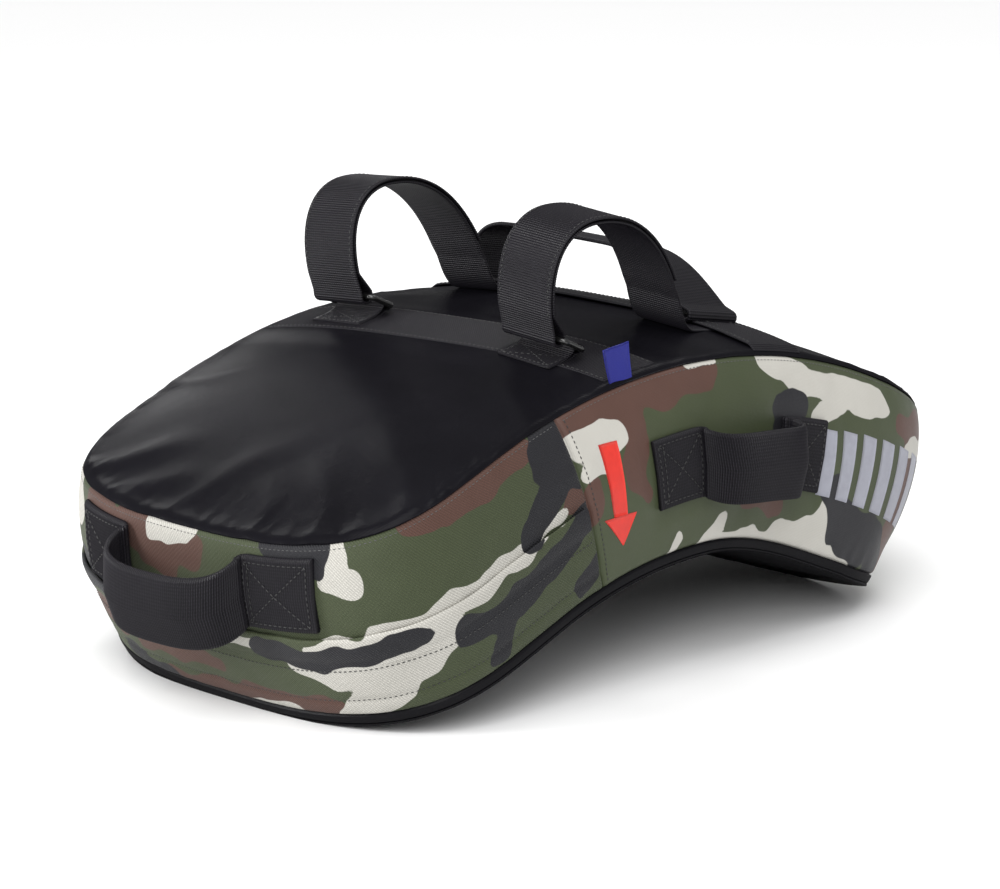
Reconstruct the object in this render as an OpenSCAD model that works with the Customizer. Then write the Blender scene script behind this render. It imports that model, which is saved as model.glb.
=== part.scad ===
// Curved kick shield: a padded, banana-bent slab held by forearm straps on its convex back.
// X runs across the shield, Y from the toe (-Y) to the far end (+Y), Z up.
// It lies on the rims of its two ends, with the concave striking face down.

/* [Body] */
// Width across the straight sides, at the lower seam
body_w = 346; // [320:1:380]
// Length from end to end, along the middle of the padding
body_l = 596; // [560:1:640]
// Thickness between the upper and lower seams
body_t = 130; // [120:1:140]
// Radius of the bend, at the middle of the padding
bend_r = 424; // [410:1:460]
// Straight stretch at the toe, before the bend starts
toe_l = 151; // [140:1:160]
// Length of each rounded end
end_l = 121; // [110:1:130]
// Squareness of the rounded ends, where 2 is an ellipse
end_power = 3; // [2.6:0.1:3.4]
// How far the upper seam lies inside the lower one
seam_inset = 14; // [10:1:18]
// How far the walls swell past a straight line between the seams
wall_swell = 10; // [8:1:12]
// Height of the back panel's middle above its seam
back_crown = 12; // [10:1:14]
// Depth of the striking face's middle below its seam
strike_crown = 10; // [8:1:12]
// Thickness of the cover fabrics
cover_t = 2; // [1.6:0.1:2.2]

/* [Webbing] */
// Width of all the webbing
web_w = 50; // [44:1:50]
// Thickness of one layer of webbing
web_t = 1.6; // [1.4:0.1:1.8]
// Distance of each forearm strap from the middle
strap_x = 92; // [88:1:96]
// Height of the forearm loops above the back panel
strap_h = 90; // [80:1:96]
// Height of the crosswise handle above the back panel
cross_h = 45; // [40:1:50]
// How far the end handle stands out from the wall
end_reach = 42; // [36:1:46]
// How far the side handles stand out from the wall
side_reach = 38; // [32:1:42]

/* [Hidden] */

gap = 0.3;                       // air between neighbouring pieces
radian = 180 / PI;
arc_s = -body_l / 2 + toe_l;     // where the straight toe meets the bend
arc_deg = (body_l - toe_l) / bend_r * radian;
inner_r = bend_r - body_t / 2;   // radius at the lower seam
// Tilt of the toe that brings both lower end rims down to the same level
toe_tilt = atan2(inner_r * (1 - cos(arc_deg)), toe_l + inner_r * sin(arc_deg));
lift_z = -inner_r * cos(toe_tilt - arc_deg);

// Heights of the seams and slits on the wall, as fractions from upper to lower seam
slot_top = 0.505;
slot_low = 0.560;
slot_mid = (slot_top + slot_low) / 2;
rim_a = 0.95;                    // where the striking face's black edge meets the wall fabric
gusset_s = -100;                 // where the toe gusset is sewn to the side panel

end_steps = 16;                  // steps round each rounded end
toe_steps = 3;                   // steps from the toe's rounded end to the gusset seam
side_steps = 8;                  // steps from the gusset seam to the far rounded end
ring_n = 2 * (end_steps + toe_steps + side_steps);
gusset_n = end_steps + 2 * toe_steps;

// ---- the bent frame: x across, s along the bend, h above the middle of the padding ----
function tilt(s) = toe_tilt - max(s - arc_s, 0) / bend_r * radian;
function bent(x, s, h) =
  let (f = tilt(s), back = max(arc_s - s, 0))
  [x, -(bend_r + h) * sin(f) - back * cos(f), (bend_r + h) * cos(f) - back * sin(f)];

// ---- outline of the shield, grown outwards by d ----
function end_part(u, p = end_power) = pow(max(1 - pow(abs(u), p), 0), 1 / p);
function side_x(s, d) =
  (body_w / 2 + d) * end_part(max(abs(s) - body_l / 2 + end_l, 0) / (end_l + d));
function toe_s(x, d) =
  -(body_l / 2 - end_l) - (end_l + d) * end_part(x / (body_w / 2 + d));
function power(c) = sign(c) * pow(abs(c), 2 / end_power);
function end_points(sgn, d) = [
  for (i = [0:end_steps - 1])
    let (a = -90 + 180 * i / end_steps)
    [sgn * (body_w / 2 + d) * power(sin(a)), -sgn * (body_l / 2 - end_l + (end_l + d) * power(cos(a)))]
];
toe_side_s = [for (i = [0:toe_steps - 1])
  let (s0 = -body_l / 2 + end_l) s0 + (gusset_s - s0) * i / toe_steps];
mid_side_s = [for (i = [0:side_steps - 1])
  gusset_s + (body_l / 2 - end_l - gusset_s) * i / side_steps];
// Counter-clockwise from above, from the left gusset seam round the toe
function outline(d) = concat(
  [for (i = [toe_steps:-1:1]) [-body_w / 2 - d, i == toe_steps ? gusset_s : toe_side_s[i]]],
  end_points(1, d),
  [for (s = toe_side_s) [body_w / 2 + d, s]],
  [for (s = mid_side_s) [body_w / 2 + d, s]],
  end_points(-1, d),
  [[-body_w / 2 - d, body_l / 2 - end_l]],
  [for (i = [side_steps - 1:-1:1]) [-body_w / 2 - d, mid_side_s[i]]]
);

// ---- surfaces ----
function wall_out(a) = -seam_inset * (1 - a) + wall_swell * sin(180 * pow(a, 0.8));
function wall_h(a) = body_t * (0.5 - a);
// How far out a point of the back lies: 0 in the middle, 1 on the upper seam
function spread(x, s, lo = 0, hi = 1.3, n = 14) =
  let (q = (lo + hi) / 2)
  n == 0 ? q :
  pow(max(abs(s) - q * (body_l / 2 - end_l), 0) / (end_l - seam_inset), end_power)
    + pow(abs(x) / (body_w / 2 - seam_inset), end_power) > pow(q, end_power)
    ? spread(x, s, q, hi, n - 1) : spread(x, s, lo, q, n - 1);
function crown(q) = 1 - pow(q, 3);
function back_h(x, s) = body_t / 2 + back_crown * crown(min(spread(x, s), 1));

// Extremes of the whole part along Y, which put the origin in the middle of its box
toe_y = min([for (a = [0.06:0.01:0.43]) bent(0, toe_s(0, wall_out(a) + end_reach), wall_h(a)).y]);
far_y = max([for (a = [0:0.01:1]) bent(0, -toe_s(0, wall_out(a)), wall_h(a)).y]);
mid_y = (toe_y + far_y) / 2;

function at(x, s, h) = bent(x, s, h) + [0, -mid_y, lift_z];
function on_back(x, s, lift) = at(x, s, back_h(x, s) + lift);
function on_side(s, a, lift) = at(side_x(s, wall_out(a) + lift), s, wall_h(a));
function on_toe(x, a, lift) = at(x, toe_s(x, wall_out(a) + lift), wall_h(a));
function wall_ring(a, lift) = [for (p = outline(wall_out(a) + lift)) at(p.x, p.y, wall_h(a))];
function flat_ring(q, d, h) = [for (p = outline(d)) at(p.x * q, p.y * q, h)];

// ---- solids ----
// A closed skin through rings listed from the top middle, down the outside, to the bottom middle
module pod(top, rings, bottom) {
  n = len(rings[0]);
  m = len(rings);
  function id(r, i) = 1 + r * n + i % n;
  polyhedron(
    points = concat([top], [for (r = rings) each r], [bottom]),
    faces = concat(
      [for (i = [0:n - 1]) [0, id(0, i + 1), id(0, i)]],
      [for (r = [0:m - 2], i = [0:n - 1]) each [
        [id(r, i), id(r, i + 1), id(r + 1, i + 1)],
        [id(r, i), id(r + 1, i + 1), id(r + 1, i)]]],
      [for (i = [0:n - 1]) [1 + n * m, id(m - 1, i), id(m - 1, i + 1)]]
    )
  );
}
// A sheet between two grids of points: rows run down and columns to the right, seen from outside
module sheet(outer, inner) {
  m = len(outer);
  n = len(outer[0]);
  function o(r, c) = r * n + c;
  function i(r, c) = m * n + r * n + c;
  polyhedron(
    points = concat([for (r = outer) each r], [for (r = inner) each r]),
    faces = concat(
      [for (r = [0:m - 2], c = [0:n - 2]) each [
        [o(r, c), o(r, c + 1), o(r + 1, c + 1)], [o(r, c), o(r + 1, c + 1), o(r + 1, c)],
        [i(r, c), i(r + 1, c + 1), i(r, c + 1)], [i(r, c), i(r + 1, c), i(r + 1, c + 1)]]],
      [for (c = [0:n - 2]) each [
        [i(0, c), i(0, c + 1), o(0, c + 1)], [i(0, c), o(0, c + 1), o(0, c)],
        [o(m - 1, c), o(m - 1, c + 1), i(m - 1, c + 1)],
        [o(m - 1, c), i(m - 1, c + 1), i(m - 1, c)]]],
      [for (r = [0:m - 2]) each [
        [o(r, 0), o(r + 1, 0), i(r + 1, 0)], [o(r, 0), i(r + 1, 0), i(r, 0)],
        [o(r + 1, n - 1), o(r, n - 1), i(r, n - 1)],
        [o(r + 1, n - 1), i(r, n - 1), i(r + 1, n - 1)]]]
    )
  );
}
function slice(list, from, to) = [for (i = [from:to]) list[i % len(list)]];
// Part of the wall: ring points from..to, at the wall fractions given, t thick from lift inwards
module wall(from, to, fractions, t, lift = 0)
  sheet([for (a = fractions) slice(wall_ring(a, lift), from, to)],
        [for (a = fractions) slice(wall_ring(a, lift - t), from, to)]);

// ---- paths for webbing ----
function bezier(p, n) = [for (i = [0:n]) let (t = i / n, u = 1 - t)
  u * u * u * p[0] + 3 * u * u * t * p[1] + 3 * u * t * t * p[2] + t * t * t * p[3]];
function normal_at(path, i) =
  let (d = path[min(i + 1, len(path) - 1)] - path[max(i - 1, 0)]) [-d.y, d.x] / norm(d);
function shifted(path, d) = [for (i = [0:len(path) - 1]) path[i] + d * normal_at(path, i)];
module band_outline(path, t = web_t)
  polygon(concat(shifted(path, t / 2), [for (i = [len(path) - 1:-1:0]) shifted(path, -t / 2)[i]]));

// =============================== the padded body ===============================
top_q = [0.25, 0.5, 0.7, 0.86, 1];
down_q = [1, 0.86, 0.7, 0.5, 0.25];

module back_panel() color("#141418")
  pod(at(0, 0, body_t / 2 + back_crown),
      concat([for (q = top_q) flat_ring(q, -seam_inset, body_t / 2 + back_crown * crown(q))],
             [for (q = down_q) flat_ring(q, -seam_inset,
               body_t / 2 + back_crown * crown(q) - cover_t)]),
      at(0, 0, body_t / 2 + back_crown - cover_t));

module strike_panel() color("#101012")
  pod(at(0, 0, -body_t / 2 - strike_crown + cover_t),
      concat([for (q = top_q) flat_ring(q, -cover_t, cover_t - body_t / 2 - strike_crown * crown(q))],
             [wall_ring(rim_a, -cover_t), wall_ring(rim_a, 0)],
             [for (q = down_q) flat_ring(q, 0, -body_t / 2 - strike_crown * crown(q))]),
      at(0, 0, -body_t / 2 - strike_crown));

upper_a = [0.022, 0.1, 0.22, 0.36, slot_top];
lower_a = [slot_low, 0.68, 0.82, rim_a - 0.006];
module side_panel() color("#4a5232")
  wall(gusset_n, ring_n, concat([0.022, 0.1, 0.22, 0.36, 0.5], [0.66, 0.82, rim_a - 0.006]), cover_t);
module gusset_upper() color("#55603a") difference() {
  wall(0, gusset_n, upper_a, cover_t);
  seam_slit();
}
module gusset_lower() color("#4c5634") difference() {
  wall(0, gusset_n, lower_a, cover_t);
  seam_slit();
}
// Keeps the gusset's ends just clear of the side panel
module seam_slit() for (side = [-1, 1])
  translate([side * body_w / 2, at(0, gusset_s, 0).y, at(0, gusset_s, 0).z])
    rotate([tilt(gusset_s), 0, 0]) cube([80, 2 * gap, 2 * body_t], center = true);

foam_in = 5;                     // from the wall's outer face to the foam
foam_air = 1.3;                  // between the panels' inner faces and the foam
foam_gap = 1;                    // between two layers of foam
split_back = 34;                 // height of the joint between the back and core foams
split_strike = -30;              // height of the joint between the core and striking foams
foam_up_q = [0.25, 0.5, 0.7, 0.86, 0.97];
foam_down_q = [0.97, 0.86, 0.7, 0.5, 0.25];
function a_of(h) = 0.5 - h / body_t;
// One layer of foam between two faces, each given as [outline offset, height, bulge]
module foam(upper, walls, lower)
  pod(at(0, 0, upper[1] + upper[2]),
      concat([for (q = foam_up_q) flat_ring(q, upper[0], upper[1] + upper[2] * crown(q))],
             [for (a = walls) wall_ring(a, -foam_in)],
             [for (q = foam_down_q) flat_ring(q, lower[0], lower[1] - lower[2] * crown(q))]),
      at(0, 0, lower[1] - lower[2]));
module foam_back() color("#8d9096")
  foam([-seam_inset, body_t / 2 - cover_t - foam_air, back_crown], [0.05, 0.14, a_of(split_back + 2)],
       [-foam_in, split_back + foam_gap / 2, 0]);
module foam_core() color("#c9cbd0")
  foam([-foam_in, split_back - foam_gap / 2, 0],
       [a_of(split_back - 2), 0.36, 0.48, 0.6, a_of(split_strike + 2)],
       [0, split_strike + foam_gap / 2, 0]);
module foam_strike() color("#3b3d42")
  foam([0, split_strike - foam_gap / 2, 0], [a_of(split_strike - 2), 0.84, 0.94],
       [-cover_t, cover_t + foam_air - body_t / 2, strike_crown]);

// =============================== the hidden zip ===============================
module zip_tape() color("#1b1b1d")
  wall(1, gusset_n - 1, [slot_top - 0.05, slot_mid, slot_low + 0.05], 1, -cover_t - 1.2);
module zip_teeth() color("#2c2c30")
  wall(1, gusset_n - 1, [slot_mid - 0.012, slot_mid + 0.012], 1.4, -1.6);
// A placket sewn below the slot, whose free edge covers the zip from below
module zip_flap() color("#58613c")
  sheet([for (r = flap_rows) slice(wall_ring(r[0], r[1] + 1), 1, gusset_n - 1)],
        [for (r = flap_rows) slice(wall_ring(r[0], r[1]), 1, gusset_n - 1)]);
flap_rows = [[0.472, 2], [0.53, 2], [0.6, 2], [0.612, 0.3], [0.64, 0.3]];

slider_s = -142;                 // where the slider is parked
slider_l = 11;
pull_l = 14;
module on_left_wall(s, a, lift)
  translate([-side_x(s, wall_out(a) + lift), at(0, s, wall_h(a)).y, at(0, s, wall_h(a)).z])
    rotate([tilt(s), 0, 0]) children();
module zip_slider() color("#b9bbc0") on_left_wall(slider_s, slot_mid, 0) {
  translate([0.1, -slider_l / 2, -2.7]) cube([1.1, slider_l, 5.4]);
  for (z = [-2.7, 1.9]) translate([1.1, -slider_l / 2, z]) cube([1.8, slider_l, 0.8]);
  translate([0.4, 0, 0]) rotate([0, -90, 0]) cylinder(h = 1.8, r = 0.8, $fn = 24);
}
module zip_pull() color("#a9abb0") on_left_wall(slider_s, slot_mid, 0)
  difference() {
    union() {
      translate([-1.3, 0, 0]) rotate([0, 90, 0]) cylinder(h = 0.9, r = 2.2, $fn = 32);
      translate([-1.3, 0, -1.8]) cube([0.9, pull_l, 3.6]);
    }
    translate([-2, 0, 0]) rotate([0, 90, 0]) cylinder(h = 3, r = 0.9, $fn = 24);
  }

// =============================== webbing on the back ===============================
near_s = -44;                    // middle of the near band
near_skew = 0.077;               // the near band is sewn slightly off square
far_s = 91;                      // middle of the far band
back_r = bend_r + body_t / 2 + back_crown;
// Half the width of a band across the back, measured along the middle of the padding
band_half = web_w / 2 * bend_r / back_r;
far_lift = 3;                    // the far band lies over the feet of the forearm straps
function columns(w, n) = [for (i = [-n:n]) w * i / n];
module back_strip(xs, s_mid, half, lift, skew = 0)
  sheet([for (e = [1, 0, -1]) [for (x = xs) on_back(x, s_mid + skew * x + e * half, lift + web_t)]],
        [for (e = [1, 0, -1]) [for (x = xs) on_back(x, s_mid + skew * x + e * half, lift)]]);
module near_band() color("#1c1c1f")
  back_strip(columns(body_w / 2 - seam_inset - 3, 8), near_s, band_half, 0.5, near_skew);
module far_band() color("#1c1c1f")
  back_strip(columns(body_w / 2 - seam_inset - 3, 8), far_s, band_half, far_lift);

// Upright frame of one forearm strap: local y along the bend, z away from the back
strap_slope = atan(3 * back_crown * pow(strap_x / (body_w / 2 - seam_inset), 2) / (body_w / 2 - seam_inset));
module strap_frame(side)
  translate(on_back(side * strap_x, 0, 0)) rotate([tilt(0), 0, 0]) rotate([0, side * strap_slope, 0])
    children();
function sag(y) = sqrt(back_r * back_r - y * y) - back_r;
module strip(w = web_w) rotate([90, 0, 90]) linear_extrude(w, center = true) children();

ring_r = 2;                      // half the thickness of the ring's bar
bar_low = [-46, 6.9 + sag(46)];  // the ring's lower bar, held by the tab
bar_top = [-65, 18.8 + sag(65)]; // the ring's upper bar, which the strap passes round
ring_w = web_w + 4;              // clear width inside the ring
ring_l = norm(bar_top - bar_low);
ring_corner = 4;
lean_z = 24;                     // height of the line that a forearm loop leans about
stub_top = lean_z - 2;           // top of the webbing held by the ring and by the foot
loop_low = lean_z + 7;           // bottom of the webbing that leans

module ring_tab(side) color("#1e1e21") strap_frame(side) strip(web_w - 2) {
  translate(bar_low) difference() {
    circle(r = ring_r + 0.5 + web_t, $fn = 40);
    circle(r = ring_r + 0.5, $fn = 40);
  }
  band_outline([for (y = [-72, -64, -56, -46]) [y, 3.3 + sag(y)]]);
}
module ring_solid(side) color("#0c0c0e") strap_frame(side)
  translate([0, bar_low.x, bar_low.y])
    rotate([atan2(bar_top.y - bar_low.y, bar_top.x - bar_low.x), 0, 0]) {
      straight = ring_w + 2 * ring_r - 2 * ring_corner;
      for (y = [0, ring_l]) translate([-straight / 2, y, 0]) rotate([0, 90, 0])
        cylinder(h = straight, r = ring_r, $fn = 24);
      for (x = [-1, 1]) translate([x * (straight / 2 + ring_corner), ring_corner, 0]) rotate([-90, 0, 0])
        cylinder(h = ring_l - 2 * ring_corner, r = ring_r, $fn = 24);
      for (x = [-1, 1], y = [0, 1])
        translate([x * straight / 2, y == 0 ? ring_corner : ring_l - ring_corner, 0])
          rotate([0, 0, x > 0 ? (y == 0 ? -90 : 0) : (y == 0 ? 180 : 90)])
            rotate_extrude(angle = 90, $fn = 48) translate([ring_corner, 0]) circle(r = ring_r, $fn = 24);
    }
// Webbing that doubles round the ring's upper bar, and the foot sewn under the far band
module strap_ends(side) color("#1e1e21") strap_frame(side) {
  fold_r = 4;
  strip() translate(bar_top) {
    intersection() {
      difference() {
        circle(r = fold_r + web_t, $fn = 40);
        circle(r = fold_r, $fn = 40);
      }
      translate([-10, -10]) square([20, 10]);
    }
    for (y = [-fold_r - web_t, fold_r]) translate([y, 0]) square([web_t, stub_top - bar_top.y]);
  }
  strip(web_w - 4) band_outline(concat(
    bezier([[51, stub_top], [54, 10], [58, 1.6 + sag(58)], [68, 1.2 + sag(68)]], 8),
    [for (y = [76:8:132]) [y, 1.1 + sag(y)]]), web_t - 0.2);
}
loop_path = concat(
  bezier([[-72, loop_low], [-77, 62], [-66, strap_h], [-33, strap_h]], 10),
  [for (i = [1:10]) bezier([[-33, strap_h], [-2, strap_h], [28, 76], [47.5, loop_low]], 10)[i]]);
layer_gap = 1.4;                 // between the two layers, where the hook tape lies
module strap_inner(side) color("#1e1e21") strap_frame(side) strip()
  band_outline(shifted(loop_path, -layer_gap / 2 - web_t / 2));
module strap_outer(side) color("#242428") strap_frame(side) strip()
  band_outline(slice(shifted(loop_path, layer_gap / 2 + web_t / 2), 0, 17));
module hook_tape(side) color("#131315") strap_frame(side) strip(web_w - 6)
  band_outline(slice(loop_path, 3, 16), layer_gap - 2 * gap);

module ring_tab_left() ring_tab(-1);
module ring_tab_right() ring_tab(1);
module ring_left() ring_solid(-1);
module ring_right() ring_solid(1);
module strap_ends_left() strap_ends(-1);
module strap_ends_right() strap_ends(1);
module strap_inner_left() strap_inner(-1);
module strap_inner_right() strap_inner(1);
module strap_outer_left() strap_outer(-1);
module strap_outer_right() strap_outer(1);
module hook_tape_left() hook_tape(-1);
module hook_tape_right() hook_tape(1);

// The crosswise handle stands on the far band
cross_foot = 5.2;                // height of its feet above the back panel
cross_low = 12;                  // bottom of the webbing that leans
module cross_frame() translate(on_back(0, far_s, 0)) rotate([tilt(far_s), 0, 0]) rotate([90, 0, 0])
  linear_extrude(web_w, center = true) children();
module cross_handle_feet() color("#1e1e21")
  for (xs = [[-122, -104, -84], [84, 101, 118]])
    sheet([for (e = [1, 0, -1]) [for (x = xs) on_back(x, far_s + e * band_half, cross_foot + web_t)]],
          [for (e = [1, 0, -1]) [for (x = xs) on_back(x, far_s + e * band_half, cross_foot)]]);
module cross_handle_loop() color("#222226") cross_frame()
  band_outline(concat(
    bezier([[-120, cross_low], [-124, 30], [-116, cross_h], [-88, cross_h]], 9),
    bezier([[14, cross_h - 2], [52, cross_h - 2], [76, 26], [106, cross_low]], 10)), 2 * web_t);

// =============================== handles on the walls ===============================
function loop_curve(half, low, reach, n) = [for (i = [-n:n]) let (a = 90 * i / n)
  [half * power(sin(a)), low + (reach - low) * pow(cos(a), 0.8)]];
flop_gap = 9.5;                     // where a wall handle's loop starts, out from the wall
patch_t = 2 * web_t;

// The end handle, on the toe above the zip
end_rows = [0.06, 0.18, 0.3, 0.43];
module end_handle_patches() color("#1e1e21") for (side = [-1, 1])
  sheet([for (a = end_rows) [for (x = end_xs(side)) on_toe(x, a, 0.4 + patch_t)]],
        [for (a = end_rows) [for (x = end_xs(side)) on_toe(x, a, 0.4)]]);
function end_xs(side) = side > 0 ? [56, 70, 84, 98, 112] : [-112, -98, -84, -70, -56];
module end_handle_loop() color("#222226")
  let (path = loop_curve(58, flop_gap, end_reach - web_t, 8))
  sheet([for (a = end_rows) [for (p = shifted(path, web_t)) on_toe(p.x, a, p.y)]],
        [for (a = end_rows) [for (p = shifted(path, -web_t)) on_toe(p.x, a, p.y)]]);

// The side handles, half way down the long walls
side_mid = 47;
side_rows = [0.315, 0.44, 0.56, 0.685];
module side_patches() color("#1e1e21") for (ss = [[-37, -22, -7, 8], [86, 101, 116, 131]])
  sheet([for (a = side_rows) [for (s = ss) on_side(s, a, 0.4 + patch_t)]],
        [for (a = side_rows) [for (s = ss) on_side(s, a, 0.4)]]);
module side_loop() color("#222226")
  let (path = loop_curve(42, flop_gap, side_reach - web_t, 8))
  sheet([for (a = side_rows) [for (p = shifted(path, web_t)) on_side(side_mid + p.x, a, p.y)]],
        [for (a = side_rows) [for (p = shifted(path, -web_t)) on_side(side_mid + p.x, a, p.y)]]);
module side_handle_patches_right() side_patches();
module side_handle_patches_left() mirror([1, 0, 0]) side_patches();
module side_handle_loop_right() side_loop();
module side_handle_loop_left() mirror([1, 0, 0]) side_loop();

// A small folded label, sewn into the upper seam and standing up from it
module seam_label() color("#2a3aa0")
  translate(on_back(body_w / 2 - seam_inset - 1.4, -43, 2.4)) rotate([tilt(-43), 0, 0])
    translate([-0.4, -10, 0]) cube([0.8, 20, 27]);

back_panel();
strike_panel();
side_panel();
gusset_upper();
gusset_lower();
foam_back();
foam_core();
foam_strike();
zip_flap();
zip_tape();
zip_teeth();
zip_slider();
zip_pull();
near_band();
far_band();
ring_tab_left();
ring_tab_right();
ring_left();
ring_right();
strap_ends_left();
strap_ends_right();
strap_inner_left();
strap_inner_right();
strap_outer_left();
strap_outer_right();
hook_tape_left();
hook_tape_right();
cross_handle_feet();
cross_handle_loop();
end_handle_patches();
end_handle_loop();
side_handle_patches_left();
side_handle_patches_right();
side_handle_loop_left();
side_handle_loop_right();
seam_label();
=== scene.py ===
"""Looks of the curved kick shield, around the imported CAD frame.

Lengths are worked out in millimetres in the shield's own bent frame (x across, s along the
bend, h above the middle of the padding) and scaled to metres when a mesh is made.
"""
import math
import random

import bpy
import numpy as np
from mathutils import Matrix, Vector, noise
from mathutils.bvhtree import BVHTree


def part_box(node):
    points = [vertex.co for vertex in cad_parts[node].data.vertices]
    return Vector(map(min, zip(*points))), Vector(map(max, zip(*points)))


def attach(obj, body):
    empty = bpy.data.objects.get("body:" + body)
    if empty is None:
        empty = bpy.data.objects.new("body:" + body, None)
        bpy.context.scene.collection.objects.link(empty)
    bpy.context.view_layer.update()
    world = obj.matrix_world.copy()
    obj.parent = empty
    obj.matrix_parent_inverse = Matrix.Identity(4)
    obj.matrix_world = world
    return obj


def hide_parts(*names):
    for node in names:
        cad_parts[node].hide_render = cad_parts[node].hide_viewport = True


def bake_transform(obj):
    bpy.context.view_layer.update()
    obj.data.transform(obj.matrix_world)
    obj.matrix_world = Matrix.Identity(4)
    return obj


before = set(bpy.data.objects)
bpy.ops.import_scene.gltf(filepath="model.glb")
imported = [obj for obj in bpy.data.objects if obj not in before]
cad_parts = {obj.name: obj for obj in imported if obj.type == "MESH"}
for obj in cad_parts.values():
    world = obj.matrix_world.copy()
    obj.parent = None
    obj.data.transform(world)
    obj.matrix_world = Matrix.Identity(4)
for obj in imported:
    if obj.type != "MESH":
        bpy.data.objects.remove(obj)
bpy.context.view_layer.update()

# ------------------------------- driving dimensions, in mm -------------------------------
BODY_W, BODY_L, BODY_T = 346.0, 596.0, 130.0                  # width, length along the bend, thickness
BEND_R, TOE_L, END_L, END_POWER = 424.0, 151.0, 121.0, 3.0    # bend, straight toe, rounded ends
SEAM_INSET, WALL_SWELL, BACK_CROWN, STRIKE_CROWN = 14.0, 10.0, 12.0, 10.0  # how the padding swells
WEB_W, WEB_T = 50.0, 1.6
STRAP_X, STRAP_H, CROSS_H = 92.0, 90.0, 45.0                  # forearm straps, cross handle
END_REACH, SIDE_REACH = 42.0, 38.0                            # how far the wall handles stand out
SLOT_TOP, SLOT_LOW, RIM_A, GUSSET_S = 0.505, 0.560, 0.95, -100.0  # zip slot, rim and gusset end
NEAR_S, NEAR_SKEW, FAR_S, FAR_LIFT = -44.0, 0.077, 91.0, 3.0  # the two bands sewn over the back
COVER_T, BELLY = 1.6, 11.0                                    # thickness of the covers, sag under the arch
MM = 0.001

# ------------------------------- the bent frame -------------------------------
ARC_S = -BODY_L / 2 + TOE_L
ARC = (BODY_L - TOE_L) / BEND_R
INNER_R = BEND_R - BODY_T / 2
TOE_TILT = math.atan2(INNER_R * (1 - math.cos(ARC)), TOE_L + INNER_R * math.sin(ARC))
HALF_W, STRAIGHT = BODY_W / 2, BODY_L / 2 - END_L
BACK_R = BEND_R + BODY_T / 2 + BACK_CROWN


def tilt(s):
    return TOE_TILT - np.maximum(np.asarray(s, float) - ARC_S, 0) / BEND_R


def bent(x, s, h):
    x, s, h = np.broadcast_arrays(*(np.asarray(v, float) for v in (x, s, h)))
    f, back = tilt(s), np.maximum(ARC_S - s, 0)
    y = -(BEND_R + h) * np.sin(f) - back * np.cos(f)
    z = (BEND_R + h) * np.cos(f) - back * np.sin(f)
    return np.stack([x, y, z], -1)


def wall_out(a):
    """How far the wall stands out at a, which is 0 on the upper seam and 1 on the lower."""
    return -SEAM_INSET * (1 - a) + WALL_SWELL * np.sin(math.pi * np.clip(a, 0, 1) ** 0.8)


def wall_h(a):
    return BODY_T * (0.5 - a)


def find_shift():
    """Puts the origin in the middle of the part's length, on the surface that it lies on."""
    a = np.linspace(0.06, 0.43, 38)
    toe = bent(0, -STRAIGHT - END_L - wall_out(a) - END_REACH, wall_h(a))[:, 1].min()
    a = np.linspace(0, 1, 101)
    far = bent(0, STRAIGHT + END_L + wall_out(a), wall_h(a))[:, 1].max()
    return np.array([0, -(toe + far) / 2, -INNER_R * math.cos(TOE_TILT - ARC)])


SHIFT = find_shift()


def fuller(s, h):
    """The padding of the striking face hangs a little fuller under the arch."""
    reach = ramp(s, 20, 175) * (1 - ramp(s, 200, 304))
    return h - BELLY * reach * ramp(-np.asarray(h, float), 0, BODY_T / 2)


def at(x, s, h):
    return bent(x, s, fuller(s, h)) + SHIFT


# The outline is run along by t: 0 at the middle of the toe, rising to the right
FINE = np.linspace(0, math.pi / 2, 4001)


def corner(c):
    return np.sign(c) * np.abs(c) ** (2 / END_POWER)


QUARTER_RUN = np.concatenate([[0], np.cumsum(np.hypot(
    np.diff(HALF_W * corner(np.sin(FINE))), np.diff(END_L * corner(np.cos(FINE)))))])
QUARTER = QUARTER_RUN[-1]
HALF_RUN = 2 * QUARTER + 2 * STRAIGHT
T_GUSSET = QUARTER + STRAIGHT + GUSSET_S


def outline(t, d):
    """x and s of the outline, grown outwards by d, at t."""
    t, d = np.broadcast_arrays(np.asarray(t, float), np.asarray(d, float))
    u = (t + HALF_RUN) % (2 * HALF_RUN) - HALF_RUN
    side, u = np.where(u < 0, -1.0, 1.0), np.abs(u)
    on_toe, on_far = u < QUARTER, u > QUARTER + 2 * STRAIGHT
    turn = np.where(on_toe, np.interp(u, QUARTER_RUN, FINE),
                    np.interp(HALF_RUN - u, QUARTER_RUN, FINE))
    x = (HALF_W + d) * np.where(on_toe | on_far, corner(np.sin(turn)), 1.0)
    end = STRAIGHT + (END_L + d) * corner(np.cos(turn))
    s = np.where(on_toe, -end, np.where(on_far, end, u - QUARTER - STRAIGHT))
    return side * x, s


def ramp(x, low, high):
    u = np.clip((x - low) / (high - low), 0, 1)
    return u * u * (3 - 2 * u)


def on_wall(t, a, lift=0.0):
    x, s = outline(t, wall_out(a) + lift)
    return at(x, s, wall_h(a))


def crown(q):
    return 1 - np.minimum(q, 1) ** 3


def spread(x, s):
    """0 in the middle of the back, 1 on its seam."""
    low, high = np.zeros(np.broadcast(x, s).shape), np.full(np.broadcast(x, s).shape, 1.3)
    for _ in range(16):
        q = (low + high) / 2
        reach = (np.maximum(np.abs(s) - q * STRAIGHT, 0) / (END_L - SEAM_INSET)) ** END_POWER
        inside = reach + (np.abs(x) / (HALF_W - SEAM_INSET)) ** END_POWER > q ** END_POWER
        low, high = np.where(inside, q, low), np.where(inside, high, q)
    return (low + high) / 2


def on_back(x, s, lift=0.0):
    x, s = np.broadcast_arrays(np.asarray(x, float), np.asarray(s, float))
    return at(x, s, BODY_T / 2 + BACK_CROWN * crown(spread(x, s)) + lift)


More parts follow.
